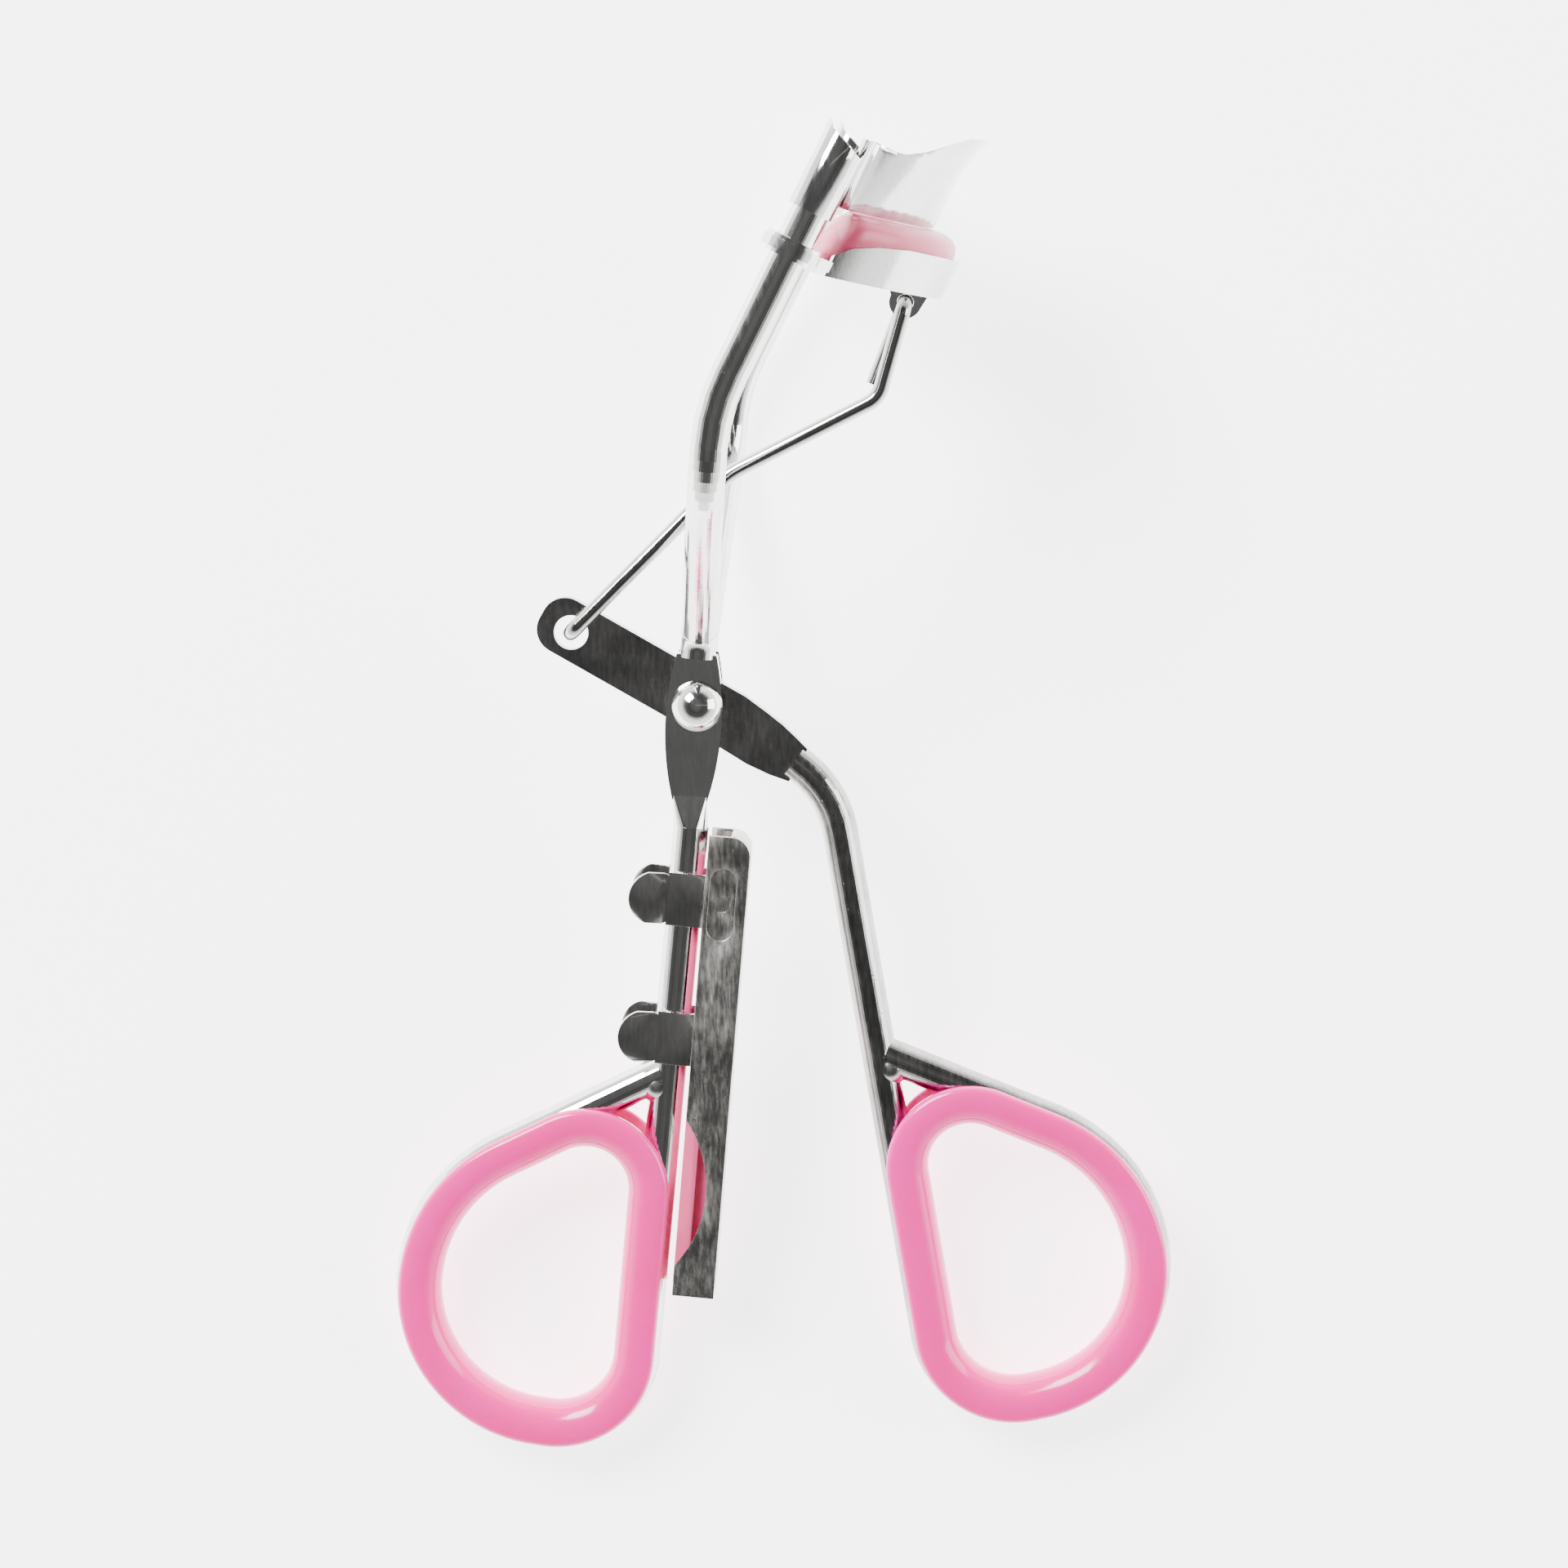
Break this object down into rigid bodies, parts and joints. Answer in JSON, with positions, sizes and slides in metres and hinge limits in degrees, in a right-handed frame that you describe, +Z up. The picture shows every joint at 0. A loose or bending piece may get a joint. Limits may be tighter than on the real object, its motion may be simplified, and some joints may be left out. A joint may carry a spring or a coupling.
{
  "type": "eyelash curler",
  "caption": "Scissor-handled eyelash curler with cushioned finger loops, a sliding padded jaw and a folding lash comb clipped on its left handle.",
  "frame": {"origin": "centre of the bounding box's footprint on the surface the curler lies on", "axes": "+Y from the finger loops to the jaws, +Z up from the surface, +X towards the right handle"},
  "size_m": [0.062, 0.1064, 0.036],
  "materials": {
    "chromed_steel": "bright nickel-chrome plate on bent rod and pressed sheet",
    "cover_steel": "bright plate, slightly dull, on thin folded sheet",
    "spring_steel": "bright plate on spring sheet",
    "weld_bead": "plated braze bead, uneven",
    "teeth_steel": "fine drawn wire",
    "cushion_plastic": "soft glossy moulded plastic",
    "comb_plastic": "glossy moulded plastic",
    "pad_silicone": "satin silicone"
  },
  "bodies": {
    "frame": {"near_arm_handle": "chromed_steel", "far_arm": "chromed_steel", "upper_jaw": "chromed_steel", "pivot_rivet": "chromed_steel", "left_finger_cushion": "cushion_plastic", "left_loop_weld": "weld_bead"},
    "lever": {"lever_handle": "chromed_steel", "right_finger_cushion": "cushion_plastic", "right_loop_weld": "weld_bead"},
    "lower_jaw_carriage": {"lower_jaw": "chromed_steel", "near_slide_ring": "chromed_steel", "far_slide_ring": "chromed_steel", "lash_pad": "pad_silicone", "link_bracket": "chromed_steel"},
    "link": {"link_wire": "chromed_steel"},
    "comb": {"comb_spine": "comb_plastic", "comb_teeth": "teeth_steel", "upper_spring_clip": "spring_steel", "lower_spring_clip": "spring_steel"},
    "cover": {"comb_cover": "cover_steel", "cover_pin": "chromed_steel"}
  },
  "joints": [
    {"name": "handle_hinge", "type": "hinge", "parent": "frame", "child": "lever", "pos_m": [-0.00649, 0.0062, 0.01195], "axis": [-0.0256, -0.1795, 0.9834], "range_deg": [0, 35]},
    {"name": "jaw_slide", "type": "slide", "parent": "frame", "child": "lower_jaw_carriage", "axis": [0.4497, 0.8765, 0.1717], "range_m": [-0.0064, 0]},
    {"name": "link_hinge", "type": "hinge", "parent": "lower_jaw_carriage", "child": "link", "pos_m": [0.0097, 0.03687, 0.01797], "axis": [-0.0256, -0.1795, 0.9834], "range_deg": [-2, 8]},
    {"name": "comb_unclip", "type": "slide", "parent": "frame", "child": "comb", "axis": [0.996, -0.0892, 0.0096], "range_m": [0, 0.005]},
    {"name": "cover_swing", "type": "hinge", "parent": "comb", "child": "cover", "pos_m": [-0.00458, -0.00924, 0.01051], "axis": [-0.0256, -0.1795, 0.9834], "range_deg": [0, 16]}
  ],
  "couplings": [
    {"joint": "jaw_slide", "follows": "handle_hinge", "m_per_rad": -0.010285},
    {"joint": "link_hinge", "follows": "handle_hinge", "ratio": 0.0642}
  ]
}
